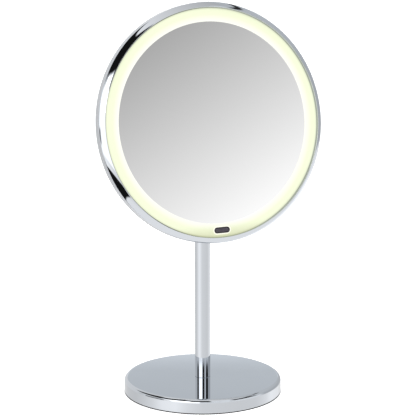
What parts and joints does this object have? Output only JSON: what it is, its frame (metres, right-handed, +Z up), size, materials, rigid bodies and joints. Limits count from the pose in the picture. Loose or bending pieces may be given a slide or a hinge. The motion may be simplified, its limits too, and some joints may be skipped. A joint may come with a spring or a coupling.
{
  "type": "lighted vanity mirror",
  "caption": "Round lighted vanity mirror: tilting and swivelling head with an opal light ring and push button, on a chrome pole and weighted round base.",
  "frame": {"origin": "centre of the base's underside, on the surface that it stands on", "axes": "+Z up along the pole, -Y the way the mirror faces, +X the mirror's right as seen from in front"},
  "size_m": [0.2052, 0.1382, 0.3444],
  "materials": {
    "chrome_base": "polished chrome plate",
    "cast_weight": "rough cast",
    "pad_rubber": "matt closed-cell foam rubber",
    "zinc_steel": "bright zinc plate",
    "brass_insert": "turned",
    "chrome_pole": "polished chrome plate",
    "chrome_knuckle": "polished chrome plate",
    "nylon_washer": "natural nylon",
    "spring_steel": "blued spring steel",
    "bracket_steel": "satin nickel plate",
    "housing_silver": "silver paint, satin",
    "black_screw": "black oxide",
    "chrome_bezel": "polished chrome plate on ABS",
    "opal_diffuser": "opal acrylic, lit from behind",
    "mirror_glass": "silvered float glass",
    "foam_tape": "adhesive foam",
    "white_moulding": "moulded ABS",
    "led_board_white": "white solder mask",
    "led_chip": "phosphor, lit",
    "circuit_board": "green solder mask",
    "board_parts": "moulded packages",
    "switch_black": "moulded",
    "plunger_red": "moulded",
    "sleeve_black": "matt",
    "button_grey": "satin",
    "tray_black": "moulded",
    "cell_jacket": "shrink jacket, plain",
    "contact_nickel": "nickel plate",
    "wire_red": "PVC insulation"
  },
  "bodies": {
    "stand": {"base_cover": "chrome_base", "base_weight": "cast_weight", "base_pad": "pad_rubber", "pole_bolt": "zinc_steel", "pole_washer": "zinc_steel", "pole_plug": "brass_insert", "pole_tube": "chrome_pole", "pole_bush": "chrome_pole", "swivel_washer": "nylon_washer"},
    "knuckle": {"swivel_knuckle": "chrome_knuckle", "stem_clip": "spring_steel"},
    "head": {"hinge_bolt": "zinc_steel", "hinge_nut": "zinc_steel", "hinge_washers": "nylon_washer", "head_bracket": "bracket_steel", "bracket_screws": "zinc_steel", "rear_housing": "housing_silver", "housing_screws": "black_screw", "front_bezel": "chrome_bezel", "diffuser_ring": "opal_diffuser", "mirror_glass": "mirror_glass", "mirror_tape": "foam_tape", "mirror_carrier": "white_moulding", "led_board": "led_board_white", "leds": "led_chip", "driver_board": "circuit_board", "driver_parts": "board_parts", "tact_switch": "switch_black", "button_sleeve": "sleeve_black", "battery_tray": "tray_black", "batteries": "cell_jacket", "battery_springs": "contact_nickel", "battery_contacts": "contact_nickel", "lead_wires": "wire_red"},
    "button": {"button_cap": "button_grey", "switch_plunger": "plunger_red"},
    "battery_door": {"battery_door": "housing_silver"}
  },
  "joints": [
    {"name": "head_swivel", "type": "hinge", "parent": "stand", "child": "knuckle", "pos_m": [0, 0, 0.2395], "axis": [0, 0, 1], "continuous": true},
    {"name": "head_tilt", "type": "hinge", "parent": "knuckle", "child": "head", "pos_m": [0, 0, 0.2395], "axis": [1, 0, 0], "range_deg": [-30, 13]},
    {"name": "button_press", "type": "slide", "parent": "head", "child": "button", "axis": [0, 0.9816, -0.1908], "range_m": [0, 0.0008], "stiffness_N_per_m": 1500, "springref_m": -0.0004},
    {"name": "battery_door_slide", "type": "slide", "parent": "head", "child": "battery_door", "axis": [0, 0.1908, 0.9816], "range_m": [0, 0.05]}
  ]
}
